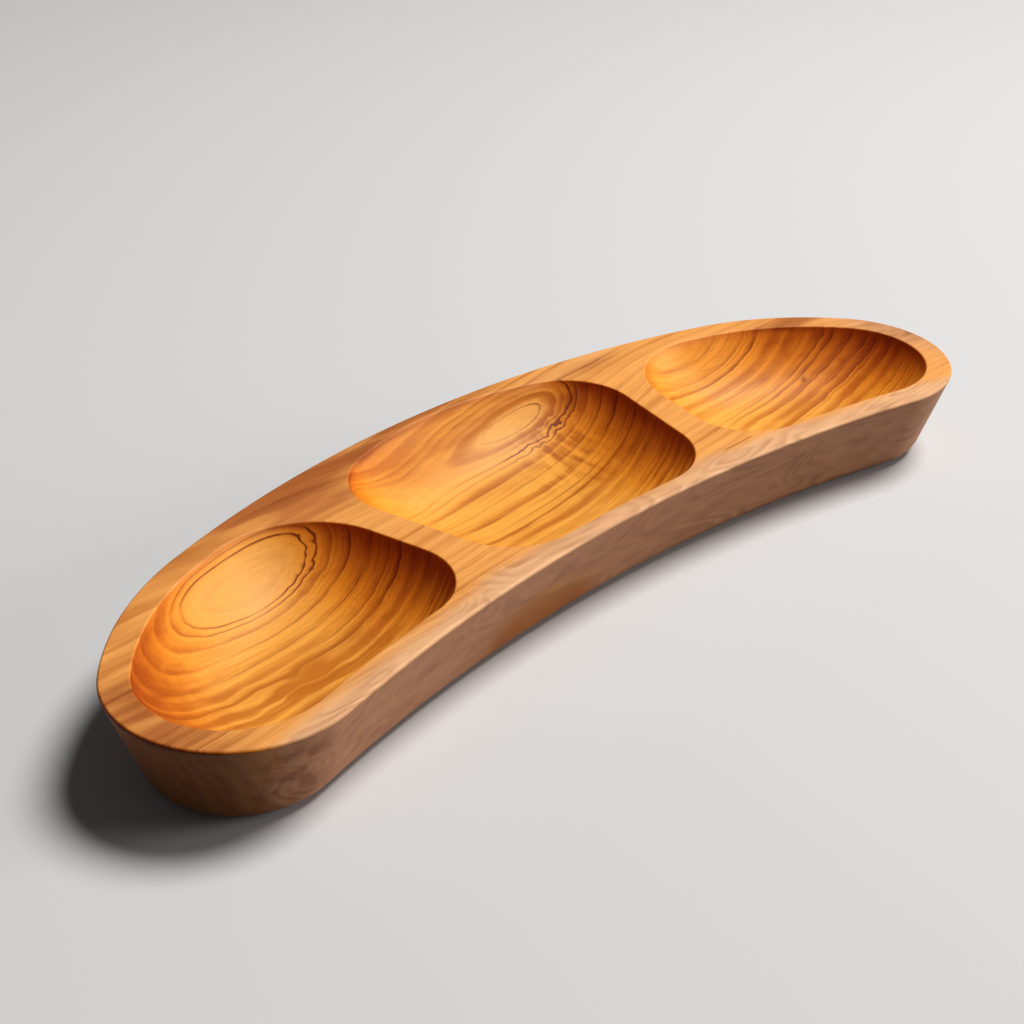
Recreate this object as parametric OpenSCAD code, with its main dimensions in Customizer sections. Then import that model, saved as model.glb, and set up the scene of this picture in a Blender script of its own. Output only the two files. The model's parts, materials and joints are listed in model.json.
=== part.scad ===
// Divided appetizer platter, carved from one piece of olive wood.
// A long dish that bends in along its front, with three scooped hollows.
// The two dividers between them are left standing.
// Millimetres. The origin lies on the table under the middle of the rim's box.
// X runs from tip to tip, +Y is the bowed back and Z is up.

/* [Overall size] */
// Length from tip to tip of the rim
length = 380; // [320:1:460]
// Width from the bowed back to the front of the two ends
width = 125; // [106:1:150]
// Height of the rim above the table
height = 35; // [30:0.5:45]

/* [Rim outline] */
// How far each rounded end stands in from the sweep of the back
end_tuck = 9.6; // [8:0.1:12]
// Radius of the curve that turns the back into each end
shoulder_radius = 110; // [92:1:132]
// Radius of each rounded end
end_radius = 41; // [35:0.5:49]
// How far the middle of the front bends in from the ends
front_bend = 18.5; // [12:0.5:23]

/* [Outside wall] */
// Angle at which the wall leans in towards the base
wall_lean = 18; // [8:1:22]
// Rounding where the wall turns under to the base
base_round = 9; // [3:0.5:11]
// Easing of the outer edge of the rim
rim_ease = 1; // [0.4:0.1:2]

/* [Dividers] */
// Width of each divider at its narrowest
divider_width = 13; // [8:0.5:17]
// Distance from the middle of the platter to the middle of each divider
divider_offset = 64; // [52:1:77]
// Angle at which the dividers spread apart towards the back
divider_lean = 13; // [0:1:18]

/* [Hollows] */
// Depth of each hollow below the rim
hollow_depth = 25; // [15:0.5:28]
// Easing of the edge where a hollow meets the rim
hollow_ease = 0.8; // [0.4:0.1:1.6]
// Width of the rim round each end hollow
end_land = 10; // [6:0.5:13]
// Width of the rim behind the middle hollow
middle_back_land = 4.5; // [3:0.5:9]
// Width of the rim in front of the middle hollow
middle_front_land = 7.5; // [4:0.5:12]
// Radius of the middle hollow's bowed back edge
middle_back_radius = 125; // [100:1:180]
// Corner radius of the middle hollow at the back of a divider
middle_back_corner = 27; // [15:1:30]
// Corner radius of the middle hollow at the front of a divider
middle_front_corner = 26; // [15:1:30]
// Corner radius of an end hollow at the back of a divider
end_back_corner = 34; // [20:1:40]
// Corner radius of an end hollow at the front of a divider
end_front_corner = 24; // [15:1:30]

/* [Scoop shape] */
// How broad the floor of a scoop is, where 2 is a round bowl and more is flatter
floor_breadth = 2.8; // [2:0.1:4]
// How steeply a scoop drops from its edge, where 1 is a slope and more is a wall
wall_drop = 1.3; // [1:0.05:1.8]

/* [Hidden] */
// Farthest that a facet may stand off its true curve
facet_error = 0.05;
// Facets across the rounding under the base, across an eased edge and down a scoop
base_steps = 6;
ease_steps = 3;
scoop_steps = 9;
// Size of the flat left at the bottom of a scoop, as a share of its mouth
scoop_flat = 0.12;
// How far the scoops are cut past the rim
over_cut = 1;
// Points closer than this are the same point
same_point = 0.001;
olive_wood = [0.80, 0.53, 0.29];

function facing(angle) = [cos(angle), sin(angle)];
function angle_of(v) = atan2(v.y, v.x);

// Point at a reach from a centre, on the line that faces an angle at a distance from the origin
function meet(angle, distance, centre, reach) =
    let (
        normal = facing(angle),
        along = [-normal.y, normal.x],
        offset = normal * distance - centre,
        shift = offset * along
    )
    normal * distance + along * (sqrt(reach * reach - offset * offset + shift * shift) - shift);

// An outline is a chain of arcs, each [centre, radius, first facing, last facing].
// A facing is the angle of the outward normal, and a negative radius bends the arc inwards.
function arc_point(arc, angle, inset) = arc[0] + (arc[1] - inset) * facing(angle);
function arc_steps(arc) =
    max(2, ceil(abs((arc[3] - arc[2]) * PI / 180) * sqrt(abs(arc[1]) / (8 * facet_error))));
function arcs_touch(arc, next) =
    norm(arc_point(arc, arc[3], 0) - arc_point(next, next[2], 0)) < same_point;

// Points round a chain that is set in all round by the same inset
function outline(chain, inset) = [
    for (i = [0:len(chain) - 1])
        let (
            arc = chain[i],
            steps = arc_steps(arc),
            last = arcs_touch(arc, chain[(i + 1) % len(chain)]) ? steps - 1 : steps
        )
        for (k = [0:last])
            arc_point(arc, arc[2] + (arc[3] - arc[2]) * k / steps, inset)
];

// The left half of a chain, from its right half
function mirrored(chain) = [
    for (i = [len(chain) - 1:-1:0])
        let (arc = chain[i])
        [[-arc[0].x, arc[0].y], arc[1], 180 - arc[3], 180 - arc[2]]
];

// Rim: the back bow, a shoulder and an end touch one another, and the front bend touches both ends.
// Each end is split where it faces along X and Y, so that points lie on the rim's box.
end_centre = [length / 2 - end_radius, end_radius - width / 2];
back_radius =
    (pow(end_centre.x, 2) + pow(width - end_radius, 2) - pow(end_radius + end_tuck, 2))
    / (2 * (width - 2 * end_radius - end_tuck));
back_centre = [0, width / 2 - back_radius];
shoulder_centre =
    let (
        to_end = end_centre - back_centre,
        span = norm(to_end),
        back_gap = back_radius - shoulder_radius,
        end_gap = shoulder_radius - end_radius,
        along = (back_gap * back_gap - end_gap * end_gap + span * span) / (2 * span),
        across = sqrt(back_gap * back_gap - along * along),
        unit = to_end / span
    )
    back_centre + along * unit + across * [-unit.y, unit.x];
front_radius =
    (pow(end_centre.x, 2) + pow(end_radius - front_bend, 2) - pow(end_radius, 2))
    / (2 * front_bend);
front_centre = [0, front_bend - width / 2 - front_radius];
back_to_shoulder = angle_of(shoulder_centre - back_centre);
shoulder_to_end = angle_of(end_centre - shoulder_centre);
end_to_front = angle_of(front_centre - end_centre);
half_rim = [
    [back_centre, back_radius, 90, back_to_shoulder],
    [shoulder_centre, shoulder_radius, back_to_shoulder, shoulder_to_end],
    [end_centre, end_radius, shoulder_to_end, 0],
    [end_centre, end_radius, 0, -90],
    [end_centre, end_radius, -90, end_to_front],
    [front_centre, -front_radius, end_to_front, -90]
];
rim_chain = concat(half_rim, mirrored(half_rim));

// Each divider's edges are two straight lines, half a width to either side of its middle
divider_middle = divider_offset * cos(divider_lean);
middle_edge = divider_middle - divider_width / 2;
end_edge = divider_middle + divider_width / 2;

// Middle hollow: a bowed back edge and a front edge that follows the rim.
// It has a round corner at either end of each divider.
middle_centre = [0, width / 2 - middle_back_land - middle_back_radius];
middle_front_radius = front_radius + middle_front_land;
middle_corner_a = meet(
    -divider_lean, middle_edge - middle_back_corner,
    middle_centre, middle_back_radius - middle_back_corner
);
middle_corner_b = meet(
    -divider_lean, middle_edge - middle_front_corner,
    front_centre, middle_front_radius + middle_front_corner
);
half_middle = [
    [middle_centre, middle_back_radius, 90, angle_of(middle_corner_a - middle_centre)],
    [middle_corner_a, middle_back_corner, angle_of(middle_corner_a - middle_centre), -divider_lean],
    [middle_corner_b, middle_front_corner, -divider_lean, angle_of(front_centre - middle_corner_b)],
    [front_centre, -middle_front_radius, angle_of(front_centre - middle_corner_b), -90]
];
middle_chain = concat(half_middle, mirrored(half_middle));

// End hollow: follows the rim from divider back to divider front, with a round corner at each
end_front_radius = front_radius + end_land;
corner_on_back = meet(
    -divider_lean, end_edge + end_back_corner,
    back_centre, back_radius - end_land - end_back_corner
);
corner_on_shoulder = meet(
    -divider_lean, end_edge + end_back_corner,
    shoulder_centre, shoulder_radius - end_land - end_back_corner
);
meets_back = angle_of(corner_on_back - back_centre) > back_to_shoulder;
end_corner_a = meets_back ? corner_on_back : corner_on_shoulder;
end_corner_a_facing = angle_of(end_corner_a - (meets_back ? back_centre : shoulder_centre));
end_corner_b = meet(
    -divider_lean, end_edge + end_front_corner,
    front_centre, end_front_radius + end_front_corner
);
end_corner_b_facing = angle_of(front_centre - end_corner_b);
shoulder_start = meets_back ? back_to_shoulder : end_corner_a_facing;
end_chain = concat(
    [[end_corner_a, end_back_corner, 180 - divider_lean, end_corner_a_facing]],
    meets_back ? [[back_centre, back_radius - end_land, end_corner_a_facing, back_to_shoulder]] : [],
    [
        [shoulder_centre, shoulder_radius - end_land, shoulder_start, shoulder_to_end],
        [end_centre, end_radius - end_land, shoulder_to_end, end_to_front],
        [front_centre, -end_front_radius, end_to_front, end_corner_b_facing],
        [end_corner_b, end_front_corner, end_corner_b_facing, -180 - divider_lean]
    ]
);

// Outside wall as [inset from the rim, height], from the base up over the eased edge
base_centre_inset =
    rim_ease + (height - rim_ease - base_round) * tan(wall_lean) + (base_round - rim_ease) / cos(wall_lean);
wall_profile = concat(
    [
        for (k = [0:base_steps])
            let (turn = -90 + (90 - wall_lean) * k / base_steps)
            [base_centre_inset - base_round * cos(turn), base_round + base_round * sin(turn)]
    ],
    [
        for (turn = concat(-wall_lean, [for (k = [0:ease_steps]) 90 * k / ease_steps]))
            [rim_ease - rim_ease * cos(turn), height - rim_ease + rim_ease * sin(turn)]
    ]
);

// A scoop's eased edge as [growth of its outline, height], from above the rim down to the bowl
ease_profile = concat(
    [[hollow_ease, height + over_cut]],
    [
        for (k = [ease_steps:-1:0])
            let (turn = 90 * k / ease_steps)
            [hollow_ease - hollow_ease * cos(turn), height - hollow_ease + hollow_ease * sin(turn)]
    ]
);
// Its bowl as [share of the mouth, height], with finer steps near the edge
bowl_profile = [
    for (k = [1:scoop_steps])
        let (share = 1 - (1 - scoop_flat) * pow(k / scoop_steps, 1.5))
        [
            share,
            height - hollow_ease
                - (hollow_depth - hollow_ease) * pow(1 - pow(share, floor_breadth), 1 / wall_drop)
        ]
];

function at_height(points, z) = [for (p = points) [p.x, p.y, z]];
function box_middle(points) =
    let (xs = [for (p = points) p.x], ys = [for (p = points) p.y])
    [(min(xs) + max(xs)) / 2, (min(ys) + max(ys)) / 2];
function drawn_in(points, share) =
    let (middle = box_middle(points))
    [for (p = points) middle + share * (p - middle)];

// Solid skinned over rings of equal count, listed from the bottom up
module skin(rings) {
    count = len(rings[0]);
    top = len(rings) - 1;
    sides = [
        for (i = [0:top - 1], j = [0:count - 1])
            let (next = (j + 1) % count)
            [i * count + j, i * count + next, (i + 1) * count + next, (i + 1) * count + j]
    ];
    floor_face = [for (j = [count - 1:-1:0]) j];
    top_face = [for (j = [0:count - 1]) top * count + j];
    polyhedron([for (ring = rings, p = ring) p], concat([floor_face, top_face], sides));
}

// The blank: the rim's outline drawn in down the leaning wall and under to the base
module blank() {
    skin([for (step = wall_profile) at_height(outline(rim_chain, step[0]), step[1])]);
}

// One scoop, cut from above the rim to its floor
module scoop(chain) {
    mouth = outline(chain, 0);
    bowl = [
        for (k = [scoop_steps - 1:-1:0])
            at_height(drawn_in(mouth, bowl_profile[k][0]), bowl_profile[k][1])
    ];
    edge = [
        for (k = [len(ease_profile) - 1:-1:0])
            at_height(outline(chain, -ease_profile[k][0]), ease_profile[k][1])
    ];
    skin(concat(bowl, edge));
}

module carved_platter() {
    color(olive_wood)
        difference() {
            blank();
            scoop(middle_chain);
            scoop(end_chain);
            mirror([1, 0, 0])
                scoop(end_chain);
        }
}

carved_platter();
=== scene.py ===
"""Divided appetizer platter: the carved olive wood piece, its finish and its stage."""

import json
import math

import bmesh
import bpy
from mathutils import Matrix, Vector

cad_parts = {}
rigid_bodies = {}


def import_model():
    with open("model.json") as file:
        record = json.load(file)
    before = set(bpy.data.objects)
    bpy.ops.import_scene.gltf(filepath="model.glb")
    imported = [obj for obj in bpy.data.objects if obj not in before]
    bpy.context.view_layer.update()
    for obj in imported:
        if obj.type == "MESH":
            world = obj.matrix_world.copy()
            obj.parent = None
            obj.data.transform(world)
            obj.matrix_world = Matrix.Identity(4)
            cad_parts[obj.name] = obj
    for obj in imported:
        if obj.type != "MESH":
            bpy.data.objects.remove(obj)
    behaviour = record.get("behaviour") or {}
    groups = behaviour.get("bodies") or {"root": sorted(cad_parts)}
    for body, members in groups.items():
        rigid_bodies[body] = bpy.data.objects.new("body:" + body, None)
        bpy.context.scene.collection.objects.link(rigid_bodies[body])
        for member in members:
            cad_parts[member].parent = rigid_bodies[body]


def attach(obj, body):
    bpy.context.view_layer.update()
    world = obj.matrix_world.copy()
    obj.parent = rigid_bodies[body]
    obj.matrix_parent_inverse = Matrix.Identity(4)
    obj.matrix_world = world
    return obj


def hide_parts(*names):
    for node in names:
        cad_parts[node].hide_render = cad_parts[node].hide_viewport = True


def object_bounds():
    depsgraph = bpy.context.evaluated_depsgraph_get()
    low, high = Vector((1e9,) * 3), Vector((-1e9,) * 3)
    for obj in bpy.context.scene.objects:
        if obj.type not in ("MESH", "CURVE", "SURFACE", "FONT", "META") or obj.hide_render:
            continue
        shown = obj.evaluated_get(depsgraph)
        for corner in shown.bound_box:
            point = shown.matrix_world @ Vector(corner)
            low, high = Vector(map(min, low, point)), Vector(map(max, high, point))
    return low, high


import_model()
cad_low, cad_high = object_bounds()

bl_info = {
    "name": "Divided Platter",
    "version": (1, 0, 0),
    "blender": (4, 5, 0),
    "location": "3D View > Sidebar > Platter",
    "description": "Carves a divided olive wood platter and sets it on a pale stage",
    "category": "Add Mesh",
}

MM = 0.001
UP = (0.0, 0.0, 1.0)
ACROSS = (1.0, 0.0, 0.0)
WHITE = (1, 1, 1, 1)

# The stage and the camera's place, in metres
FLOOR_SIZE = 8.0
KEY_PLACE = (0.92, -0.40, 1.96)
KEY_BREADTH = 0.95
FILL_FROM = (1.25, -0.95, 0.35)
FILL_SPREAD = math.radians(25)
CAMERA_PLACE = (-0.36719, -0.36298, 0.32266)
CAMERA_TURN = math.radians(44.001)
CAMERA_TILT = math.radians(30.704)

# The camera's sensor and lens, in mm
SENSOR_WIDTH = 36.0
LENS_LENGTH = 58.49

# Carving: size of a first point, distance at which points merge, and counts of facets and steps
SEED_SIZE = 0.5 * MM
SAME_PLACE = 0.01 * MM
FEWEST_FACETS = 2
BASE_FACETS = 12
WALL_FACETS = 10
LOWER_EASE_FACETS = 2
UPPER_EASE_FACETS = 6
HOLLOW_EASE_FACETS = 5
BOX_STEPS = 32
BOWL_RINGS = 30
SHADING_WEIGHT = 100

# The last ring of a bowl as a share of its edge, and how the rings crowd at the edge
LAST_RING = 0.05
RING_CROWDING = 1.4

# Growth rings from the pith out: outer radius in mm, darkness of the line that ends it,
# width of that line in mm, and depth of its soft band
GROWTH_RINGS = (
    (4.4, 0.8, 0.9, 0.0),
    (7.6, 0.3, 1.1, 0.6),
    (9.6, 0.1, 1.0, 0.3),
    (11.8, 1.6, 1.1, 0.2),
    (14.0, 1.3, 1.0, 0.3),
    (18.5, 0.45, 1.3, 0.4),
    (24.5, 0.7, 1.2, 0.5),
    (31.6, 0.85, 1.3, 0.4),
    (38.4, 0.55, 1.2, 0.5),
    (42.5, 0.7, 1.4, 0.85),
    (50.0, 0.6, 1.0, 0.5),
    (53.4, 0.5, 1.1, 0.4),
    (57.0, 0.4, 1.0, 0.25),
    (62.4, 0.65, 1.1, 0.55),
    (65.0, 0.55, 1.1, 0.6),
    (69.8, 0.6, 1.2, 0.5),
    (73.9, 0.6, 1.0, 0.4),
    (76.8, 0.6, 1.1, 0.8),
    (82.0, 0.6, 1.1, 0.9),
    (86.0, 0.5, 1.1, 0.3),
)

# Bends of the grain: place and spread in the plan, and how far the grain is drawn to the back, in mm
GRAIN_BENDS = (
    ((-113, 28), (28, 14), 5.0),
    ((-40, 45), (28, 22), 3.0),
    ((-165, 5), (25, 25), 2.5),
    ((-90, -12), (30, 20), 2.5),
    ((115, 5), (35, 22), -10.5),
    ((165, 0), (30, 30), -10.5),
    ((95, 30), (30, 18), -6.6),
    ((190, 0), (45, 60), 7.9),
)

# Curly grain: place and spread in the plan, size of the curls and how far they reach, in mm
GRAIN_CURLS = (
    ((-90, 26), (9, 10), 4.0, 5.0),
    ((38, 37), (16, 5), 4.0, 5.5),
    ((-128, -15), (24, 8), 17.0, 26.0),
)

# Deeper amber wood, or lighter wood below 0: place and spread in the plan in mm, and its depth
AMBER_PLACES = (
    ((-118, -15), (45, 15), 0.5),
    ((-168, 2), (14, 25), 0.55),
    ((20, 53), (45, 4), 0.5),
    ((-25, 48), (34, 9), 0.6),
    ((35, 6), (25, 3.5), 0.5),
    ((-5, 2), (28, 3), 0.4),
    ((10, 16.5), (35, 2.5), 0.3),
    ((0, 10.5), (35, 3), -0.5),
    ((-5, 24), (35, 4), -0.35),
    ((8, -8), (32, 3), 0.25),
    ((155, -5), (30, 25), 0.25),
    ((54, 39), (5, 4), 0.9),
    ((36, 27), (11, 9), 0.4),
    ((45, 36), (7, 3), 0.4),
    ((-137, -18), (13, 3), -0.5),
    ((-113, -13), (5, 5), 0.55),
)

# Brown tint on the rim: place and spread in the plan in mm, and its depth
RIM_SMOKE = (
    ((-80, 46), (75, 20), 0.85),
    ((-184, -28), (18, 28), 1.05),
    ((-5, 60), (45, 6), 0.8),
    ((72, 47), (24, 7), 0.45),
    ((160, 18), (28, 14), 0.7),
    ((188, -20), (12, 28), 0.6),
)

# Single marks: place and spread in mm, and height.
# The last two lie on the outside wall, and the others in the plan.
EYE_TAPER = ((-33, 47), (37, 12), 4.4)
FLAME = ((-126, -15), (27, 10), 0.5)
RIPPLE = ((36, 24), (13, 16), 1.0)
KNOT = ((153, 1), (1.2, 1.0), 0.9)
PALE_END = ((192, -12), (16, 40), 0.9)
HEART_PATCH = ((-40, 9), (29, 13), 1.2)
WALL_SWIRL = ((-158, 20), (22, 13), 0.8)

# Noise drawn out into streaks: the share of the length that counts, and of the depth for the ripples
LONG_DRAW = 0.25
STREAK_DRAW = 0.06
BROAD_DRAW = 0.3
FLAME_DRAW = 0.4
FIBRE_DRAW = 0.03
RIPPLE_DRAW = 0.12

# Noise as a shift: its whole reach, size of its lumps in mm, detail, roughness and twist
GRAIN_WANDERS = ((2.5, 30, 1.0), (1.8, 4, 3.0))
RIPPLE_WANDER = (2.0, 3.2, 1.0)
STREAK_TONE = (1.1, 4.5, 3.0)
BROAD_TONE = (1.1, 9)
PATCH_WANDER = (1.3, 5, 3.0)
SAP_LINE_WANDER = (30.0, 16, 1.0, 0.5, 0.6)
SAP_EDGE_WANDER = (14.0, 26)
FINE_WANDER = (4.0, 6.0)
RING_TONES = ((0.9, 4.0), (1.6, 11.0))
CURL_DETAIL = 1.0

# Noise as patches: size of its lumps in mm, detail, roughness and twist, and the slope it goes through.
# A slope is where it starts, where it ends and, if they aren't 0 and 1, its values there.
LINE_BREAKS = ((9, 3.0), (0.32, 0.68, 0.2, 0.85))
FLAME_TONGUES = ((10, 1.0, 0.5, 0.9), (0.3, 0.75))
SAP_BREAKS = ((7,), (0.35, 0.65, 0.1, 0.5))
SAP_CLOUDS = ((6.0,), (0.4, 0.8, 0.0, 0.4))
SWIRL_CURLS = ((10, 2.0, 0.5, 1.2), (0.45, 0.62))
SMOKE_STREAKS = ((6.0,), (0.3, 0.7, 0.65, 1.2))
SMOKE_CLOUDS = ((8,), (0.3, 0.7, 0.65, 1.3))

# Heights at which a hollow turns into the rim, top of the rim in mm, and upward facing of the outside wall
RIM_HEIGHTS = (31, 34.5)
RIM_TOP = 35
OUTSIDE_FACING = (0.1, -0.1)

# Clear wood round the pith, apart from the middle hollow's eye, and calm wood behind and beside the pith
CLEAR_RADII = (10.3, 9.6)
MIDDLE_EYE_PART = ((-14, 4), (70, 60))
BEHIND_PITH = (1.0, 6.0)
BEHIND_START = (-70, -50)
FAINT_RADII = (17, 15)
FAINT_PART = ((-70, -55), (30, 8))

# Growth lines: their shape, and their strength by facing, in calm wood, in a hollow and on the rim.
# A shape or a part is a slope that rises and a slope that falls.
LINE_SHAPE = ((0.0, 0.2), (1.0, 0.2))
LINE_BY_FACING = (-0.75, 0.5, 1.8, 0.7)
LINE_IN_CALM = 0.3
LINE_IN_HOLLOW = 0.95
LINE_ON_RIM = 0.55

# Fine lines: how many to a mm, their shape, their breaks, and their strength as for the growth lines
FINE_PER_MM = 0.5
FINE_SHAPE = ((0.3, 0.95), (1.0, 0.95))
FINE_BREAK_SIZE = 5.0
FINE_BREAKS = (0.4, 0.65, 0.15, 1.0)
FINE_BY_RADIUS = (8.0, 12.0, 0.1, 1.0)
FINE_BY_FACING = (-0.75, 0.0, 2.4, 1.0)
FINE_IN_HOLLOW = 0.32
FINE_ON_RIM = 0.27

# Amber tone: shape of a ring's soft band, tone at the start, the share that is left in each place,
# what a ripple takes away, and the tones that make honey and full amber
BAND_SHAPE = ((0.05, 0.75), (1.0, 0.8))
TONE_START = 0.05
TONE_IN_CLEAR = 0.3
TONE_IN_CALM = 0.6
TONE_ON_RIM = 0.65
TONE_ON_PATCH = 0.6
TONE_BY_RADIUS = (3.6, 5.2, 0.1, 1.0)
TONE_OF_RIPPLE = -1.4
TONE_TO_AMBER = (0.0, 1.1)

# Pale wood near the pith, apart from the deeper part between the two eyes
PALE_RADII = (13, 7, 0.0, 0.7)
DEEP_PART = ((-70, -60), (10, -5))

# Heartwood patch on the front wall: where the front starts, its edge, its amber and its share by height
PATCH_FRONT = (0, -10)
PATCH_EDGE = (0.2, 0.85)
PATCH_AMBER = (20, 4, 0.0, 0.5)
PATCH_SHARE = (24, 6, 0.65, 0.9)

# Sapwood lines: how far they follow the growth rings, how many to a mm, their shape, and where the swirl
# comes in towards the front
SAP_RING_SHARE = 0.5
SAP_LINES_PER_MM = 0.3
SAP_LINE_SHAPE = ((0.0, 0.7), (1.0, 0.7))
SWIRL_FRONT = (-20, -40)

# Edge of the sapwood: its distance before the middle and radius of its bow in mm, its lean, its slope,
# and the share of sapwood all over the outside wall
SAP_FRONT = 44.0
SAP_BOW_RADIUS = 568.5
SAP_LEAN = 0.325
SAP_EDGE = (13.0, 5.0)
SAP_ON_WALL = 0.6

# Small split in the front of the rim: its middle in mm, and how it ends along and across the grain
SPLIT_MIDDLE = (62.5, -36.0)
SPLIT_ALONG = (10, 6, 0.0, 0.6)
SPLIT_ACROSS = (0.6, 0.15)

# Fibres and oil: fibre size in mm, detail and roughness, tints, facings for end grain and painted shade,
# shine and relief
FIBRES = (0.7, 3.0, 0.6)
FIBRE_TINT = (0.3, 0.72, 0.92, 1.04)
RIPPLE_TINT = 0.35
WALL_FACING = (0.1, 0.6)
END_FACING = (0.35, 0.9)
FIBRE_ROUGHNESS = (0.25, 0.8, 0.46, 0.58)
SPECULAR_LEVEL = 0.22
FIBRE_RELIEF = 0.6
LINE_RELIEF = -0.4
RELIEF_STRENGTH = 0.25
RELIEF_HEIGHT = 0.08 * MM


def size_value(name, description, default):
    """A length that a user can change, in metres."""
    return bpy.props.FloatProperty(
        name=name, description=description, default=default, min=0.0, unit="LENGTH", precision=4
    )


def angle_value(name, description, degrees):
    """An angle that a user can change."""
    return bpy.props.FloatProperty(
        name=name, description=description, default=math.radians(degrees), subtype="ANGLE"
    )


def power_value(name, description, default):
    """The power of a lamp that a user can change, in watts."""
    return bpy.props.FloatProperty(
        name=name, description=description, default=default, min=0.0, subtype="POWER", unit="POWER"
    )


def colour_value(name, description, default):
    """A colour that a user can change."""
    return bpy.props.FloatVectorProperty(
        name=name, description=description, default=default, min=0.0, max=2.0, size=3, subtype="COLOR"
    )


class PlatterSizes(bpy.types.PropertyGroup):
    """Sizes of the carved platter."""

    length: size_value("Length", "From tip to tip of the rim", cad_high.x - cad_low.x)
    width: size_value("Width", "From the bowed back to the front of the ends", cad_high.y - cad_low.y)
    height: size_value("Height", "Height of the rim above the floor", cad_high.z - cad_low.z)
    end_tuck: size_value("End tuck", "How far each end stands in from the sweep of the back", 9.6 * MM)
    shoulder_radius: size_value("Shoulder radius", "Curve that turns the back into an end", 110 * MM)
    end_radius: size_value("End radius", "Radius of each rounded end", 41 * MM)
    front_bend: size_value("Front bend", "How far the middle of the front bends in", 18.5 * MM)
    wall_lean: angle_value("Wall lean", "Lean of the outside wall towards the base", 18)
    base_round: size_value("Base rounding", "Rounding from the wall under to the base", 9 * MM)
    rim_ease: size_value("Rim easing", "Easing of the outer edge of the rim", 1 * MM)
    divider_width: size_value("Divider width", "Width of each divider", 13 * MM)
    divider_offset: size_value("Divider offset", "From the middle to the middle of a divider", 64 * MM)
    divider_lean: angle_value("Divider lean", "How the dividers spread apart towards the back", 13)
    hollow_depth: size_value("Hollow depth", "Depth of each hollow below the rim", 25 * MM)
    hollow_ease: size_value("Hollow easing", "Easing of the edge round each hollow", 0.8 * MM)
    end_land: size_value("End land", "Width of the rim round each end hollow", 10 * MM)
    middle_back_land: size_value("Middle back land", "Rim behind the middle hollow", 4.5 * MM)
    middle_front_land: size_value("Middle front land", "Rim in front of the middle hollow", 7.5 * MM)
    middle_back_radius: size_value("Middle back radius", "Bow of the middle hollow's back edge", 125 * MM)
    middle_back_corner: size_value("Middle back corner", "Middle hollow, at a divider's back", 27 * MM)
    middle_front_corner: size_value("Middle front corner", "Middle hollow, at a divider's front", 26 * MM)
    end_back_corner: size_value("End back corner", "End hollow, at a divider's back", 34 * MM)
    end_front_corner: size_value("End front corner", "End hollow, at a divider's front", 24 * MM)
    floor_breadth: bpy.props.FloatProperty(
        name="Floor breadth", description="2 is a round bowl and more is flatter", default=2.8, min=1.0
    )
    wall_drop: bpy.props.FloatProperty(
        name="Wall drop", description="1 is a slope and more is a wall", default=1.3, min=1.0
    )
    facet: size_value("Facet", "Length of a facet along the outlines", 1.8 * MM)


class PaleStage(bpy.types.PropertyGroup):
    """Floor colours and light of the stage."""

    floor_colour: colour_value("Floor", "Colour of the floor as it is seen", (0.66, 0.65, 0.64))
    floor_bounce: colour_value(
        "Floor bounce", "Colour that the floor throws back on the wood", (0.085, 0.084, 0.083)
    )
    key_power: power_value("Key lamp", "Power of the soft lamp overhead", 53)
    fill_strength: bpy.props.FloatProperty(
        name="Fill lamp", description="Strength of the low light from the front right", default=1.2, min=0.0
    )
    room_light: bpy.props.FloatProperty(
        name="Room light", description="Strength of the even light all round", default=0.05, min=0.0
    )


class OliveWoodFinish(bpy.types.PropertyGroup):
    """Colours and grain of the oiled olive wood, and the tints that paint shade on its steep walls."""

    honey: colour_value("Honey", "Light early wood between the growth lines", (0.97, 0.43, 0.062))
    amber: colour_value("Amber", "Deeper bands of the heartwood", (0.58, 0.180, 0.015))
    umber: colour_value("Umber", "Dark growth lines", (0.27, 0.064, 0.009))
    pale_heart: colour_value("Pale heart", "Smooth wood close to the pith", (0.97, 0.50, 0.13))
    rim_tint: colour_value("Rim tint", "Tint of the bare, level rim", (0.96, 0.92, 1.5))
    smoke: colour_value("Smoke", "Brown tint in places on the rim", (0.52, 0.37, 0.34))
    sapwood: colour_value("Sapwood", "Pale wood along the front", (0.86, 0.465, 0.225))
    sap_line: colour_value("Sapwood line", "Growth lines in the pale wood", (0.48, 0.20, 0.085))
    # Painted shade: deepens and saturates the hollows' walls that face along the length, partly as the real
    # cut across the fibres
    wall_grain_and_shade: colour_value(
        "Oiled wall", "Tint where a hollow starts to cut across the fibres", (1.0, 0.76, 0.28)
    )
    # Painted shade: darkens the steep end walls of the hollows, partly as real end grain and partly as
    # painted shade
    end_grain_and_shade: colour_value(
        "Oiled end grain", "Tint where a hollow cuts right across the fibres", (0.50, 0.235, 0.052)
    )
    bare_wall: colour_value("Bare wall", "Tint of the wood on the outside wall", (1.0, 0.83, 0.82))
    # Painted shade: darkens the ends of the outside wall, partly as real end grain and partly as painted
    # shade
    bare_end_and_shade: colour_value(
        "Bare end grain", "Tint where the outside cuts across the fibres", (0.62, 0.56, 0.52)
    )
    pith_back: size_value("Pith back", "Distance of the pith behind the middle", 45 * MM)
    pith_height: size_value("Pith height", "Height of the pith above the floor", 23 * MM)
    pith_turn: angle_value("Pith turn", "How the pith turns to the back, left to right", 5.2)
    pith_climb: angle_value("Pith climb", "How the pith climbs, left to right", 1.5)


def facing(degrees):
    """Unit vector that faces an angle in the plan."""
    return Vector((math.cos(math.radians(degrees)), math.sin(math.radians(degrees))))


def angle_of(vector):
    """Angle that a plan vector faces, in degrees."""
    return math.degrees(math.atan2(vector.y, vector.x))


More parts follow.
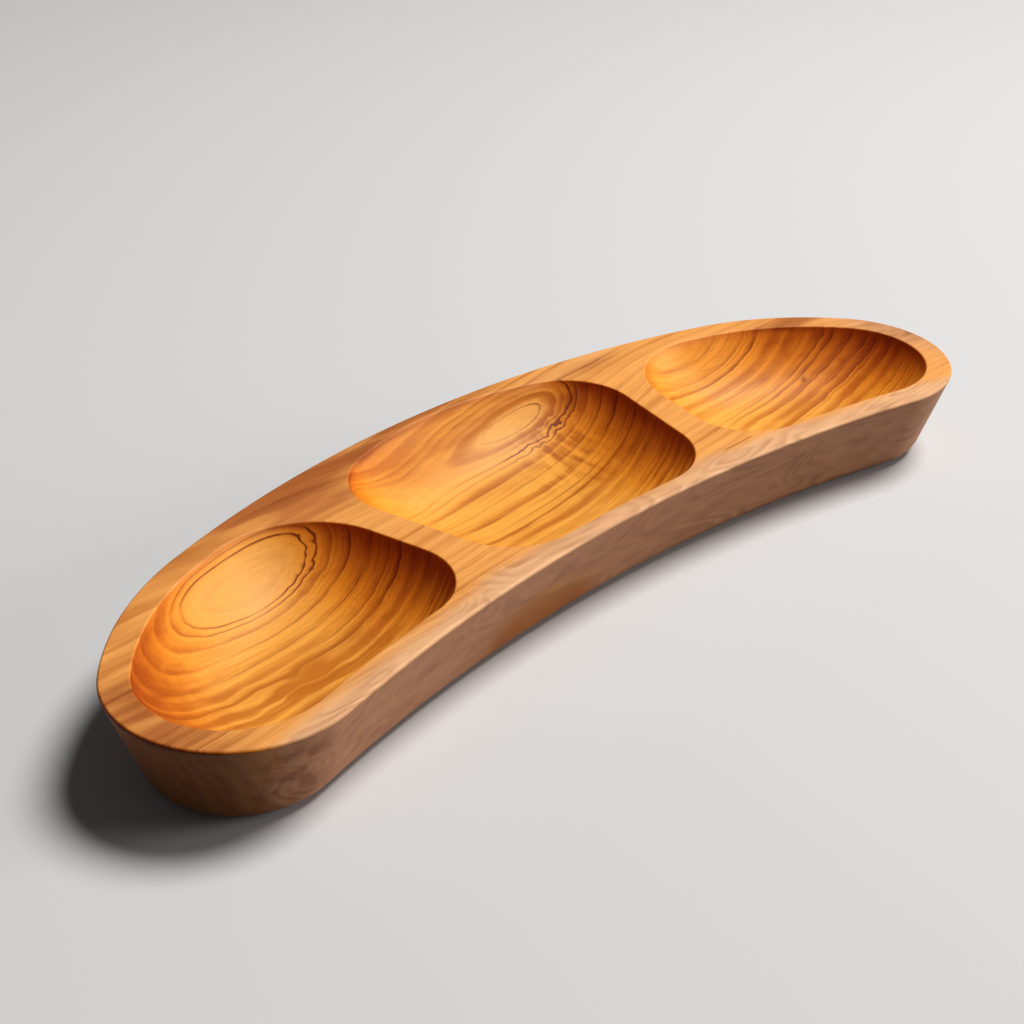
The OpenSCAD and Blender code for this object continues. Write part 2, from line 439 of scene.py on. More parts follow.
def meet(degrees, distance, centre, reach):
    """Point at a reach from a centre, on the line that faces an angle at a distance from the origin."""
    normal = facing(degrees)
    along = Vector((-normal.y, normal.x))
    offset = normal * distance - centre
    shift = offset.dot(along)
    travel = math.sqrt(reach * reach - offset.dot(offset) + shift * shift) - shift
    return normal * distance + along * travel


def mirrored(chain):
    """The left half of a chain of arcs, from its right half."""
    return [
        (Vector((-centre.x, centre.y)), radius, 180 - last, 180 - first)
        for centre, radius, first, last in reversed(chain)
    ]


class Outlines:
    """Chains of arcs in the plan. Each arc has a centre, a radius, a first facing and a last facing."""

    def __init__(self, sizes):
        """Finds the centres of the rim's arcs and where each arc turns into the next."""
        self.sizes = sizes
        width, end_radius, bend = sizes.width, sizes.end_radius, sizes.front_bend
        self.end = Vector((sizes.length / 2 - end_radius, end_radius - width / 2))
        reach = end_radius + sizes.end_tuck
        across = width - end_radius
        self.back_radius = (self.end.x ** 2 + across ** 2 - reach ** 2) / (2 * (across - reach))
        self.back = Vector((0, width / 2 - self.back_radius))
        to_end = self.end - self.back
        back_gap = self.back_radius - sizes.shoulder_radius
        end_gap = sizes.shoulder_radius - end_radius
        along = (back_gap ** 2 - end_gap ** 2 + to_end.length_squared) / (2 * to_end.length)
        aside = math.sqrt(back_gap ** 2 - along ** 2)
        unit = to_end.normalized()
        self.shoulder = self.back + along * unit + aside * Vector((-unit.y, unit.x))
        self.front_radius = (self.end.x ** 2 + (end_radius - bend) ** 2 - end_radius ** 2) / (2 * bend)
        self.front = Vector((0, bend - width / 2 - self.front_radius))
        self.back_to_shoulder = angle_of(self.shoulder - self.back)
        self.shoulder_to_end = angle_of(self.end - self.shoulder)
        self.end_to_front = angle_of(self.front - self.end)
        self.lean = math.degrees(sizes.divider_lean)
        self.divider_middle = sizes.divider_offset * math.cos(sizes.divider_lean)

    def rim(self):
        """The outer edge of the rim."""
        end_radius = self.sizes.end_radius
        half = [
            (self.back, self.back_radius, 90, self.back_to_shoulder),
            (self.shoulder, self.sizes.shoulder_radius, self.back_to_shoulder, self.shoulder_to_end),
            (self.end, end_radius, self.shoulder_to_end, 0),
            (self.end, end_radius, 0, -90),
            (self.end, end_radius, -90, self.end_to_front),
            (self.front, -self.front_radius, self.end_to_front, -90),
        ]
        return half + mirrored(half)

    def middle_hollow(self):
        """The edge of the middle hollow: its back has its own bow, and its front follows the rim."""
        sizes = self.sizes
        edge = self.divider_middle - sizes.divider_width / 2
        bow = sizes.middle_back_radius
        bow_centre = Vector((0, sizes.width / 2 - sizes.middle_back_land - bow))
        front_radius = self.front_radius + sizes.middle_front_land
        back_corner, front_corner = sizes.middle_back_corner, sizes.middle_front_corner
        back_turn = meet(-self.lean, edge - back_corner, bow_centre, bow - back_corner)
        front_turn = meet(-self.lean, edge - front_corner, self.front, front_radius + front_corner)
        bow_to_turn = angle_of(back_turn - bow_centre)
        turn_to_front = angle_of(self.front - front_turn)
        half = [
            (bow_centre, bow, 90, bow_to_turn),
            (back_turn, back_corner, bow_to_turn, -self.lean),
            (front_turn, front_corner, -self.lean, turn_to_front),
            (self.front, -front_radius, turn_to_front, -90),
        ]
        return half + mirrored(half)

    def right_hollow(self):
        """The edge of the right hollow, which follows the rim round to the divider."""
        sizes = self.sizes
        edge = self.divider_middle + sizes.divider_width / 2
        land = sizes.end_land
        back_radius, front_radius = self.back_radius - land, self.front_radius + land
        back_corner, front_corner = sizes.end_back_corner, sizes.end_front_corner
        back_turn = meet(-self.lean, edge + back_corner, self.back, back_radius - back_corner)
        front_turn = meet(-self.lean, edge + front_corner, self.front, front_radius + front_corner)
        turn_to_back = angle_of(back_turn - self.back)
        front_to_turn = angle_of(self.front - front_turn)
        return [
            (back_turn, back_corner, 180 - self.lean, turn_to_back),
            (self.back, back_radius, turn_to_back, self.back_to_shoulder),
            (self.shoulder, sizes.shoulder_radius - land, self.back_to_shoulder, self.shoulder_to_end),
            (self.end, sizes.end_radius - land, self.shoulder_to_end, self.end_to_front),
            (self.front, -front_radius, self.end_to_front, front_to_turn),
            (front_turn, front_corner, front_to_turn, -180 - self.lean),
        ]


def arc_end(arc, at_last):
    """First or last point of an arc, in the plan."""
    centre, radius, first, last = arc
    return centre + radius * facing(last if at_last else first)


def box_middle(chain):
    """Middle of the box round a chain of arcs."""
    points = [
        centre + radius * facing(first + (last - first) * step / BOX_STEPS)
        for centre, radius, first, last in chain
        for step in range(BOX_STEPS + 1)
    ]
    xs = [point.x for point in points]
    ys = [point.y for point in points]
    return (min(xs) + max(xs)) / 2, (min(ys) + max(ys)) / 2


def start_point(place):
    """Leaves one selected vertex at a place, from a plane that is drawn together."""
    bpy.ops.mesh.select_all(action="DESELECT")
    bpy.ops.mesh.primitive_plane_add(size=SEED_SIZE, location=place)
    bpy.ops.mesh.merge(type="CENTER")


def draw_on(step):
    """Extrudes what is selected by a step."""
    bpy.ops.mesh.extrude_region_move(TRANSFORM_OT_translate={"value": step})


def turn_about(centre, axis, degrees, steps):
    """Spins what is selected about an axis. The spin operator counts its angle the other way."""
    bpy.ops.mesh.spin(steps=steps, angle=-math.radians(degrees), center=centre, axis=axis)


def sweep_round(chain, facet):
    """Spins the selected section round every arc of a closed chain, and closes it up."""
    for index, arc in enumerate(chain):
        centre, radius, first, last = arc
        span = abs(math.radians(last - first) * radius)
        facets = max(FEWEST_FACETS, round(span / facet))
        turn_about((centre.x, centre.y, 0), UP, last - first, facets)
        gap = arc_end(chain[(index + 1) % len(chain)], False) - arc_end(arc, True)
        pieces = round(gap.length / facet)
        for _ in range(pieces):
            draw_on((gap.x / pieces, gap.y / pieces, 0))
    bpy.ops.mesh.select_linked()
    bpy.ops.mesh.remove_doubles(threshold=SAME_PLACE)


def select_open_edges(piece, height):
    """Selects only the open edges that lie at a height."""
    bpy.ops.mesh.select_all(action="DESELECT")
    shape = bmesh.from_edit_mesh(piece.data)
    for edge in shape.edges:
        if edge.is_boundary and all(abs(vertex.co.z - height) < SAME_PLACE for vertex in edge.verts):
            edge.select_set(True)
    shape.select_flush(True)
    bmesh.update_edit_mesh(piece.data)


def turn_outside_wall(sizes, rim):
    """Draws the section of the outside wall at the back and sweeps it round the rim."""
    lean, ease, rounding = sizes.wall_lean, sizes.rim_ease, sizes.base_round
    edge, top = sizes.width / 2, sizes.height
    rise = top - ease - rounding
    base_inset = ease + rise * math.tan(lean) + (rounding - ease) / math.cos(lean)
    base_edge = edge - base_inset
    start_point((0, base_edge, 0))
    turn_about((0, base_edge, rounding), ACROSS, 90 - math.degrees(lean), BASE_FACETS)
    foot = Vector((0, base_edge + rounding * math.cos(lean), rounding - rounding * math.sin(lean)))
    shoulder = Vector((0, edge - ease + ease * math.cos(lean), top - ease - ease * math.sin(lean)))
    for _ in range(WALL_FACETS):
        draw_on((shoulder - foot) / WALL_FACETS)
    turn_about((0, edge - ease, top - ease), ACROSS, math.degrees(lean), LOWER_EASE_FACETS)
    turn_about((0, edge - ease, top - ease), ACROSS, 90, UPPER_EASE_FACETS)
    bpy.ops.mesh.select_linked()
    sweep_round(rim, sizes.facet)


def sweep_hollow_edge(sizes, chain):
    """Draws the eased edge of a hollow and sweeps it round."""
    ease, top = sizes.hollow_ease, sizes.height
    centre, radius, first, _ = chain[0]
    outward = facing(first)
    pivot = centre + (radius + ease) * outward
    start_point((pivot.x, pivot.y, top))
    turn_about((pivot.x, pivot.y, top - ease), (outward.y, -outward.x, 0), 90, HOLLOW_EASE_FACETS)
    bpy.ops.mesh.select_linked()
    sweep_round(chain, sizes.facet)


def scoop_hollow(piece, sizes, chain):
    """Sweeps the eased edge of a hollow and draws its bowl down and in to the floor."""
    sweep_hollow_edge(sizes, chain)
    ease, top = sizes.hollow_ease, sizes.height
    select_open_edges(piece, top - ease)
    middle = box_middle(chain)
    share, height = 1.0, top - ease
    for ring in range(1, BOWL_RINGS + 1):
        new_share = 1 - (1 - LAST_RING) * (ring / BOWL_RINGS) ** RING_CROWDING
        fall = (1 - new_share ** sizes.floor_breadth) ** (1 / sizes.wall_drop)
        new_height = top - ease - (sizes.hollow_depth - ease) * fall
        draw_on((0, 0, new_height - height))
        factor = new_share / share
        bpy.ops.transform.resize(value=(factor, factor, 1), center_override=(*middle, new_height))
        share, height = new_share, new_height
    draw_on((0, 0, top - sizes.hollow_depth - height))
    bpy.ops.mesh.merge(type="CENTER")


def close_up(piece, height):
    """Fills the level rim and the flat base, and turns every face outward."""
    select_open_edges(piece, height)
    bpy.ops.mesh.fill(use_beauty=True)
    select_open_edges(piece, 0)
    bpy.ops.mesh.edge_face_add()
    bpy.ops.mesh.select_all(action="SELECT")
    bpy.ops.mesh.normals_make_consistent(inside=False)


class Nodes:
    """Short ways to add shader nodes to one material."""

    def __init__(self, name):
        self.material = bpy.data.materials.new(name)
        self.material.use_nodes = True
        self.tree = self.material.node_tree
        self.shader = self.tree.nodes["Principled BSDF"]

    def add(self, kind, inputs, **settings):
        """Adds a node, with its settings, and links or sets its inputs by name or number."""
        node = self.tree.nodes.new("ShaderNode" + kind)
        for name, value in settings.items():
            setattr(node, name, value)
        for name, value in inputs.items():
            self.put(node.inputs[name], value)
        return node

    def put(self, socket, value):
        """Links a socket or sets its value."""
        if isinstance(value, bpy.types.NodeSocket):
            self.tree.links.new(value, socket)
        elif socket.type == "RGBA":
            socket.default_value = (*value, 1)
        else:
            socket.default_value = value

    def maths(self, operation, *values):
        """One step of arithmetic."""
        return self.add("Math", dict(enumerate(values)), operation=operation).outputs[0]

    def total(self, *values):
        """Sum of all the values."""
        result = values[0]
        for value in values[1:]:
            result = self.maths("ADD", result, value)
        return result

    def times(self, *values):
        """Product of all the values."""
        result = values[0]
        for value in values[1:]:
            result = self.maths("MULTIPLY", result, value)
        return result

    def rest(self, share):
        """What a share leaves of 1."""
        return self.maths("SUBTRACT", 1.0, share)

    def vector(self, x, y, z):
        """A vector from three values."""
        return self.add("CombineXYZ", {"X": x, "Y": y, "Z": z}).outputs[0]

    def parts(self, vector):
        """The three values of a vector."""
        return self.add("SeparateXYZ", {"Vector": vector}).outputs

    def noise(self, vector, grain, detail=2.0, roughness=0.5, twist=0.0):
        """Noise from 0 to 1 whose lumps have the given size."""
        shape = {"Scale": 1 / grain, "Detail": detail, "Roughness": roughness, "Distortion": twist}
        return self.add("TexNoise", {"Vector": vector, **shape}).outputs["Fac"]

    def noise_along(self, value, grain):
        """Noise from 0 to 1 along one value."""
        node = self.add("TexNoise", {"W": value, "Scale": 1 / grain}, noise_dimensions="1D")
        return node.outputs["Fac"]

    def swing(self, noise, reach):
        """Noise from 0 to 1 turned into a shift to both sides."""
        return self.times(self.maths("SUBTRACT", noise, 0.5), reach)

    def wander(self, vector, reach, *noise):
        """A shift to both sides by noise."""
        return self.swing(self.noise(vector, *noise), reach)

    def wander_along(self, value, reach, grain):
        """A shift to both sides by noise along one value."""
        return self.swing(self.noise_along(value, grain), reach)

    def ramp(self, value, low, high, to_low=0.0, to_high=1.0):
        """Goes smoothly from one value to the other as the input goes from low to high."""
        inputs = {"Value": value, "From Min": low, "From Max": high, "To Min": to_low, "To Max": to_high}
        return self.add("MapRange", inputs, interpolation_type="SMOOTHSTEP").outputs["Result"]

    def fade(self, share, first, last):
        """Goes smoothly from one value to the other as a share goes from 0 to 1."""
        return self.ramp(share, 0.0, 1.0, first, last)

    def between(self, value, rise, fall):
        """1 between a slope that rises and a slope that falls, and 0 outside them."""
        return self.times(self.ramp(value, *rise), self.ramp(value, *fall))

    def patches(self, vector, noise, slope):
        """Noise that goes through a slope."""
        return self.ramp(self.noise(vector, *noise), *slope)

    def lump(self, x, y, place, spread, height):
        """A smooth rise at a place on two axes."""
        across = self.times(self.maths("SUBTRACT", x, place[0]), 1 / spread[0])
        along = self.times(self.maths("SUBTRACT", y, place[1]), 1 / spread[1])
        square = self.total(self.times(across, across), self.times(along, along))
        return self.times(self.maths("EXPONENT", self.times(square, -1.0)), height)

    def blend(self, share, first, second, kind="MIX"):
        """Blends two colours."""
        node = self.add("Mix", {}, data_type="RGBA", blend_type=kind)
        for name, value in {"Factor": share, "A": first, "B": second}.items():
            socket = next(each for each in node.inputs if each.name == name and each.enabled)
            self.put(socket, value)
        return next(each for each in node.outputs if each.enabled)

    def tint(self, share, colour, stain):
        """Multiplies a colour by a stain, as far as a share says."""
        return self.blend(share, colour, stain, "MULTIPLY")


class OliveWood(Nodes):
    """Oiled olive wood: growth rings round a slanted pith, cut by the carved surface, in mm."""

    def __init__(self, finish):
        super().__init__("olive_wood")
        self.finish = finish
        self.find_place()
        self.find_ring()
        self.find_quiet_wood()
        self.find_marks()
        season, darkness, width, band = self.count_rings()
        self.line = self.growth_lines(season, darkness, width)
        heart = self.heartwood(self.amber_tone(season, band))
        wood = self.blend(self.sap_share(), heart, self.sapwood())
        wood = self.tint(self.outside, wood, finish.bare_wall)
        self.coat(self.oil_and_painted_shade(self.split_rim(self.smoked_rim(wood))))

    def in_plan(self, place, spread, height):
        """A smooth rise at a place in the plan."""
        return self.lump(self.x, self.y, place, spread, height)

    def drawn_out(self, share, depth):
        """The place with its length drawn out, so that noise turns into streaks."""
        return self.vector(self.times(self.x, share), depth, self.z)

    def find_place(self):
        """Finds where each point of the surface is and how it faces."""
        place = self.add("TexCoord", {}).outputs
        self.x, self.y, self.z = (self.times(part, 1 / MM) for part in self.parts(place["Object"]))
        self.spot = self.vector(self.x, self.y, self.z)
        self.long_spot = self.drawn_out(LONG_DRAW, self.y)
        self.face_x, _, face_z = self.parts(place["Normal"])
        self.across = self.maths("ABSOLUTE", self.face_x)
        self.outside = self.ramp(face_z, *OUTSIDE_FACING)
        self.on_rim = self.ramp(self.z, *RIM_HEIGHTS)

    def find_ring(self):
        """Finds each point's depth in the bent grain and its growth ring, as a radius from the pith."""
        depth = self.y
        for wander in GRAIN_WANDERS:
            depth = self.total(depth, self.wander(self.long_spot, *wander))
        for bend in GRAIN_BENDS:
            depth = self.total(depth, self.in_plan(*bend))
        for place, spread, grain, reach in GRAIN_CURLS:
            curl = self.wander(self.spot, reach, grain, CURL_DETAIL)
            depth = self.total(depth, self.times(self.in_plan(place, spread, 1.0), curl))
        self.depth = depth
        self.streak_spot = self.drawn_out(STREAK_DRAW, depth)
        finish = self.finish
        pith_y = self.total(self.times(self.x, math.tan(finish.pith_turn)), finish.pith_back / MM)
        pith_z = self.total(self.times(self.x, math.tan(finish.pith_climb)), finish.pith_height / MM)
        self.behind_pith = self.maths("SUBTRACT", depth, pith_y)
        from_pith = self.vector(0.0, self.behind_pith, self.maths("SUBTRACT", self.z, pith_z))
        radius = self.add("VectorMath", {0: from_pith}, operation="LENGTH").outputs["Value"]
        self.ring = self.total(radius, self.in_plan(*EYE_TAPER))

    def find_quiet_wood(self):
        """Finds the clear wood round the pith, and the calm wood where lines and bands are faint."""
        at_eye = self.between(self.x, *MIDDLE_EYE_PART)
        self.clear = self.times(self.ramp(self.ring, *CLEAR_RADII), self.rest(at_eye))
        behind = self.times(self.ramp(self.behind_pith, *BEHIND_PITH), self.ramp(self.x, *BEHIND_START))
        behind = self.times(behind, self.rest(self.on_rim))
        faint = self.times(self.ramp(self.ring, *FAINT_RADII), self.between(self.x, *FAINT_PART))
        self.calm = self.maths("MAXIMUM", behind, faint)

    def find_marks(self):
        """Finds the fibres, the ripples in the middle hollow and the heartwood patch on the front."""
        self.fibre = self.noise(self.drawn_out(FIBRE_DRAW, self.depth), *FIBRES)
        cross_spot = self.vector(self.x, self.times(self.y, RIPPLE_DRAW), self.z)
        self.ripple = self.times(self.wander(cross_spot, *RIPPLE_WANDER), self.in_plan(*RIPPLE))
        middle_height = HEART_PATCH[0][1]
        height = self.maths("MAXIMUM", self.z, middle_height)
        patch = self.times(self.lump(self.x, height, *HEART_PATCH), self.outside)
        patch = self.times(patch, self.ramp(self.y, *PATCH_FRONT))
        streaks = self.times(self.wander(self.long_spot, *PATCH_WANDER), patch)
        self.heart_patch = self.ramp(self.total(patch, streaks), *PATCH_EDGE)

    def count_rings(self):
        """Gives how far through its ring a point is, and the darkness, line width and band of that ring."""
        number, outermost = len(GROWTH_RINGS), GROWTH_RINGS[-1][0]
        counter = self.add("FloatCurve", {"Value": self.times(self.ring, 1 / outermost)})
        counter.mapping.extend = "EXTRAPOLATED"
        points = counter.mapping.curves[0].points
        for index, (radius, *_) in enumerate(GROWTH_RINGS[:-1], 1):
            points.new(radius / outermost, index / number)
        for point in points:
            point.handle_type = "VECTOR"
        counter.mapping.update()
        count = self.times(counter.outputs["Value"], number)
        middle = self.times(self.total(self.maths("FLOOR", count), 0.5), 1 / number)
        traits = self.add("ValToRGB", {"Fac": middle})
        traits.color_ramp.interpolation = "CONSTANT"
        stops = traits.color_ramp.elements
        stops.remove(stops[-1])
        inner = 0.0
        for index, (radius, darkness, width, band) in enumerate(GROWTH_RINGS):
            stop = stops[0] if index == 0 else stops.new(index / number)
            stop.color = (darkness, width / (radius - inner), band, 1)
            inner = radius
        split = self.add("SeparateColor", {"Color": traits.outputs["Color"]})
        return self.maths("FRACT", count), *split.outputs

    def growth_lines(self, season, darkness, width):
        """The dark lines that end the growth rings."""
        to_line = self.maths("DIVIDE", self.rest(season), width)
        line = self.times(self.between(to_line, *LINE_SHAPE), darkness)
        line = self.times(line, self.patches(self.long_spot, *LINE_BREAKS))
        line = self.times(line, self.ramp(self.face_x, *LINE_BY_FACING))
        line = self.times(line, self.rest(self.clear), self.fade(self.calm, 1.0, LINE_IN_CALM))
        return self.times(line, self.fade(self.on_rim, LINE_IN_HOLLOW, LINE_ON_RIM))

    def fine_lines(self):
        """The fine lines between the growth lines."""
        bent_ring = self.total(self.ring, self.wander_along(self.ring, *FINE_WANDER))
        season = self.maths("FRACT", self.times(bent_ring, FINE_PER_MM))
        fine = self.between(season, *FINE_SHAPE)
        fine = self.times(fine, self.ramp(self.noise_along(self.ring, FINE_BREAK_SIZE), *FINE_BREAKS))
        fine = self.times(fine, self.ramp(self.ring, *FINE_BY_RADIUS))
        fine = self.times(fine, self.fade(self.on_rim, FINE_IN_HOLLOW, FINE_ON_RIM))
        return self.times(fine, self.ramp(self.face_x, *FINE_BY_FACING))

    def amber_tone(self, season, band):
        """How far the heartwood goes from honey to amber."""
        tone = self.total(self.times(self.between(season, *BAND_SHAPE), band), TONE_START)
        for wander in RING_TONES:
            tone = self.total(tone, self.wander_along(self.ring, *wander))
        tone = self.total(tone, self.wander(self.streak_spot, *STREAK_TONE))
        tone = self.total(tone, self.wander(self.drawn_out(BROAD_DRAW, self.depth), *BROAD_TONE))
        tone = self.times(tone, self.fade(self.clear, 1.0, TONE_IN_CLEAR))
        tone = self.times(tone, self.fade(self.calm, 1.0, TONE_IN_CALM))
        for deep in AMBER_PLACES:
            tone = self.total(tone, self.in_plan(*deep))
        tone = self.total(tone, self.times(self.ripple, TONE_OF_RIPPLE))
        flame = self.patches(self.drawn_out(FLAME_DRAW, self.y), *FLAME_TONGUES)
        tone = self.total(tone, self.times(flame, self.in_plan(*FLAME)))
        tone = self.times(tone, self.ramp(self.ring, *TONE_BY_RADIUS))
        tone = self.times(tone, self.fade(self.on_rim, 1.0, TONE_ON_RIM))
        tone = self.times(tone, self.fade(self.heart_patch, 1.0, TONE_ON_PATCH))
        return self.total(tone, self.times(self.heart_patch, self.ramp(self.z, *PATCH_AMBER)))

    def heartwood(self, tone):
        """Colour of the heartwood, with its lines and the small knot."""
        finish = self.finish
        away = self.rest(self.between(self.x, *DEEP_PART))
        pale_share = self.times(self.ramp(self.ring, *PALE_RADII), away)
        heart = self.blend(pale_share, finish.honey, finish.pale_heart)
        heart = self.blend(self.ramp(tone, *TONE_TO_AMBER), heart, finish.amber)
        heart = self.blend(self.fine_lines(), heart, finish.amber)
        heart = self.blend(self.line, heart, finish.umber)
        heart = self.blend(self.in_plan(*KNOT), heart, finish.umber)
        return self.tint(self.on_rim, heart, finish.rim_tint)

    def sapwood(self):
        """Colour of the sapwood, with its wavy lines and the swirl on the outside wall."""
        shift = self.wander(self.drawn_out(BROAD_DRAW, self.y), *SAP_LINE_WANDER)
        wavy = self.total(self.times(self.ring, SAP_RING_SHARE), shift)
        season = self.maths("FRACT", self.times(wavy, SAP_LINES_PER_MM))
        grain = self.between(season, *SAP_LINE_SHAPE)
        grain = self.times(grain, self.patches(self.long_spot, *SAP_BREAKS))
        grain = self.total(grain, self.patches(self.long_spot, *SAP_CLOUDS))
        swirl = self.patches(self.spot, *SWIRL_CURLS)
        swirl = self.times(swirl, self.lump(self.x, self.z, *WALL_SWIRL))
        swirl = self.times(swirl, self.outside, self.ramp(self.y, *SWIRL_FRONT))
        return self.blend(self.total(grain, swirl), self.finish.sapwood, self.finish.sap_line)

    def sap_share(self):
        """Where the sapwood shows: along the front, on the outside wall and on the right end of the rim."""
        bow = self.times(self.x, self.x, 1 / (2 * SAP_BOW_RADIUS))
        lean = self.times(self.maths("SUBTRACT", self.z, RIM_TOP), SAP_LEAN)
        from_front = self.total(self.y, SAP_FRONT, bow, lean)
        uneven = self.wander(self.drawn_out(FLAME_DRAW, self.y), *SAP_EDGE_WANDER)
        front = self.ramp(self.total(from_front, uneven), *SAP_EDGE)
        share = self.maths("MAXIMUM", front, self.times(self.outside, SAP_ON_WALL))
        patch = self.times(self.heart_patch, self.ramp(self.z, *PATCH_SHARE))
        share = self.times(share, self.rest(patch))
        return self.maths("MAXIMUM", share, self.times(self.in_plan(*PALE_END), self.on_rim))

    def smoked_rim(self, wood):
        """Browns the rim in places."""
        smoke = 0.0
        for stain in RIM_SMOKE:
            smoke = self.total(smoke, self.in_plan(*stain))
        smoke = self.times(smoke, self.on_rim, self.patches(self.streak_spot, *SMOKE_STREAKS))
        smoke = self.times(smoke, self.patches(self.long_spot, *SMOKE_CLOUDS))
        return self.tint(self.fade(smoke, 0.0, 1.0), wood, self.finish.smoke)

    def split_rim(self, wood):
        """Draws the small split along the grain in the front of the rim."""
        along = self.maths("ABSOLUTE", self.maths("SUBTRACT", self.x, SPLIT_MIDDLE[0]))
        across = self.maths("ABSOLUTE", self.maths("SUBTRACT", self.depth, SPLIT_MIDDLE[1]))
        split = self.times(self.ramp(along, *SPLIT_ALONG), self.ramp(across, *SPLIT_ACROSS))
        return self.blend(split, wood, self.finish.umber)

    def oil_and_painted_shade(self, wood):
        """Shades the fibres and the ripples, and deepens the wood where it is cut across the fibres, partly
        as real end grain and partly as painted shade on the steep walls.
        """
        finish = self.finish
        shade = self.total(self.ramp(self.fibre, *FIBRE_TINT), self.times(self.ripple, RIPPLE_TINT))
        wood = self.tint(1.0, wood, self.vector(shade, shade, shade))
        # Painted shade: the hollows' walls that face along the length are deepened and saturated, besides
        # the real cut across the fibres
        wall_grain_and_shade_share = self.times(self.ramp(self.across, *WALL_FACING), self.rest(self.outside))
        wood = self.tint(wall_grain_and_shade_share, wood, finish.wall_grain_and_shade)
        # Painted shade: the steep end walls of the hollows, and the ends of the outside wall, are darkened,
        # partly as real end grain
        end_grain_and_shade_tint = self.blend(self.outside, finish.end_grain_and_shade, finish.bare_end_and_shade)
        return self.tint(self.ramp(self.across, *END_FACING), wood, end_grain_and_shade_tint)

    def coat(self, wood):
        """Puts the colour, the soft shine and the fine relief on the shader."""
        sockets = self.shader.inputs
        self.put(sockets["Base Color"], wood)
        self.put(sockets["Roughness"], self.ramp(self.fibre, *FIBRE_ROUGHNESS))
        self.put(sockets["Specular IOR Level"], SPECULAR_LEVEL)
        fibres = self.times(self.fibre, FIBRE_RELIEF)
        relief = self.total(fibres, self.times(self.line, LINE_RELIEF), self.ripple)
        heights = {"Height": relief, "Strength": RELIEF_STRENGTH, "Distance": RELIEF_HEIGHT}
        self.put(sockets["Normal"], self.add("Bump", heights).outputs["Normal"])


class PLATTER_OT_carve(bpy.types.Operator):
    """Carves the platter: its outside wall, its three hollows, its rim and its base"""

    bl_idname = "platter.carve"
    bl_label = "Carve platter"

    def execute(self, context):
        sizes = context.scene.platter_sizes
        outlines = Outlines(sizes)
        right_hollow = outlines.right_hollow()
        bpy.ops.object.select_all(action="DESELECT")
        bpy.ops.mesh.primitive_plane_add(size=SEED_SIZE, location=(0, 0, 0))
        piece = context.object
        piece.name = "olive_wood_platter"
        piece.data.name = piece.name
        bpy.ops.object.mode_set(mode="EDIT")
        bpy.ops.mesh.delete(type="VERT")
        turn_outside_wall(sizes, outlines.rim())
        for chain in (outlines.middle_hollow(), right_hollow, mirrored(right_hollow)):
            scoop_hollow(piece, sizes, chain)
        close_up(piece, sizes.height)
        bpy.ops.object.mode_set(mode="OBJECT")
        bpy.ops.object.shade_smooth()
        piece.modifiers.new("even_shading", "WEIGHTED_NORMAL").weight = SHADING_WEIGHT
        bpy.ops.object.modifier_apply(modifier="even_shading")
        piece.data.materials.append(OliveWood(context.scene.platter_finish).material)
        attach(piece, "root")
        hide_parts("carved_platter")
        return {"FINISHED"}


def lay_floor(stage):
    """Lays the plain floor: pale to the eye and in reflections, with little bounce back on the wood."""
    bpy.ops.object.select_all(action="DESELECT")
    bpy.ops.mesh.primitive_plane_add(size=FLOOR_SIZE, location=(0, 0, 0))
    floor = bpy.context.object
    floor.name = "pale_floor"
    nodes = Nodes("pale_floor")
    path = nodes.add("LightPath", {}).outputs
    seen = nodes.maths("MAXIMUM", path["Is Camera Ray"], path["Is Glossy Ray"])
    seen = nodes.maths("MAXIMUM", seen, path["Is Transmission Ray"])
    colour = nodes.blend(seen, stage.floor_bounce, stage.floor_colour)
    nodes.put(nodes.shader.inputs["Base Color"], colour)
    nodes.shader.inputs["Roughness"].default_value = 1.0
    nodes.shader.inputs["Specular IOR Level"].default_value = 0.0
    floor.data.materials.append(nodes.material)


def hang_lamp(name, kind, place, strength):
    """Hangs a lamp that faces the platter."""
    bpy.ops.object.light_add(type=kind, location=place)
    lamp = bpy.context.object
    lamp.name = name
    lamp.data.energy = strength
    lamp.rotation_euler = (-lamp.location).to_track_quat("-Z", "Y").to_euler()
    return lamp.data


def set_camera():
    """Sets up the camera at the photo's viewing angle."""
    bpy.ops.object.camera_add(location=CAMERA_PLACE)
    camera = bpy.context.object
    camera.name = "photo_camera"
    level = math.cos(CAMERA_TILT)
    sideways, forward = math.sin(CAMERA_TURN), math.cos(CAMERA_TURN)
    ahead = Vector((sideways * level, forward * level, -math.sin(CAMERA_TILT)))
    camera.rotation_euler = ahead.to_track_quat("-Z", "Y").to_euler()
    camera.data.sensor_width = SENSOR_WIDTH
    camera.data.lens = LENS_LENGTH
    return camera


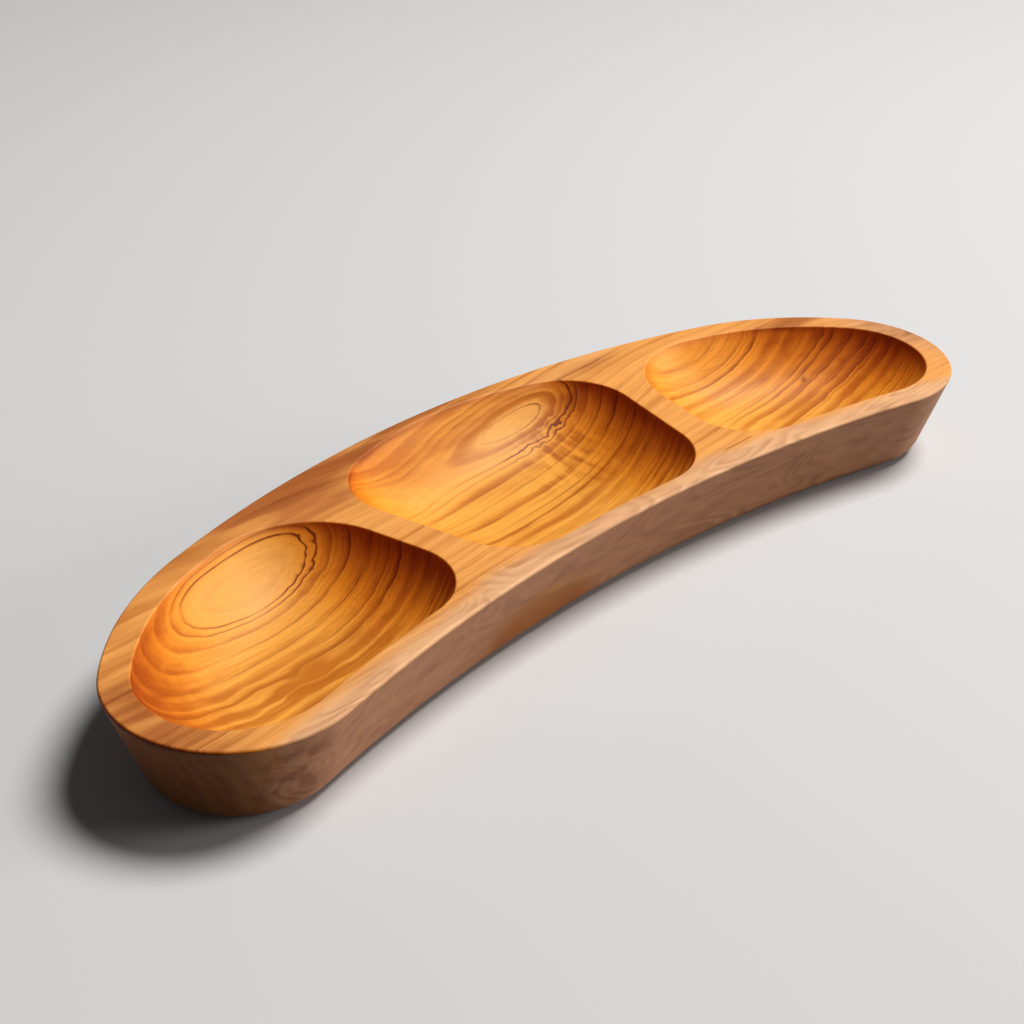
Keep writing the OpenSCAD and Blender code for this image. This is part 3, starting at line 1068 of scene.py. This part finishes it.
class PLATTER_OT_stage(bpy.types.Operator):
    """Lays the pale floor, hangs the soft lights and sets up the camera"""

    bl_idname = "platter.stage"
    bl_label = "Set stage"

    def execute(self, context):
        scene, stage = context.scene, context.scene.platter_stage
        lay_floor(stage)
        scene.world = scene.world or bpy.data.worlds.new("soft_room")
        scene.world.use_nodes = True
        background = scene.world.node_tree.nodes["Background"]
        background.inputs["Color"].default_value = WHITE
        background.inputs["Strength"].default_value = stage.room_light
        key = hang_lamp("soft_key", "AREA", KEY_PLACE, stage.key_power)
        key.shape = "DISK"
        key.size = KEY_BREADTH
        fill = hang_lamp("front_fill", "SUN", FILL_FROM, stage.fill_strength)
        fill.angle = FILL_SPREAD
        scene.camera = set_camera()
        scene.view_settings.view_transform = "Standard"
        return {"FINISHED"}


class PLATTER_PT_panel(bpy.types.Panel):
    """Sidebar panel that lists the platter's sizes, finish, stage and operators"""

    bl_idname = "PLATTER_PT_panel"
    bl_label = "Divided Platter"
    bl_space_type = "VIEW_3D"
    bl_region_type = "UI"
    bl_category = "Platter"

    def draw(self, context):
        scene = context.scene
        for group in (scene.platter_sizes, scene.platter_finish, scene.platter_stage):
            for name in type(group).__annotations__:
                self.layout.prop(group, name)
        for operator in (PLATTER_OT_carve, PLATTER_OT_stage):
            self.layout.operator(operator.bl_idname)


classes = (PlatterSizes, OliveWoodFinish, PaleStage, PLATTER_OT_carve, PLATTER_OT_stage, PLATTER_PT_panel)


def register():
    for each in classes:
        bpy.utils.register_class(each)
    bpy.types.Scene.platter_sizes = bpy.props.PointerProperty(type=PlatterSizes)
    bpy.types.Scene.platter_finish = bpy.props.PointerProperty(type=OliveWoodFinish)
    bpy.types.Scene.platter_stage = bpy.props.PointerProperty(type=PaleStage)


def unregister():
    del bpy.types.Scene.platter_stage
    del bpy.types.Scene.platter_finish
    del bpy.types.Scene.platter_sizes
    for each in reversed(classes):
        bpy.utils.unregister_class(each)


def main():
    register()
    bpy.ops.platter.carve()
    bpy.ops.platter.stage()


if __name__ == "__main__":
    main()
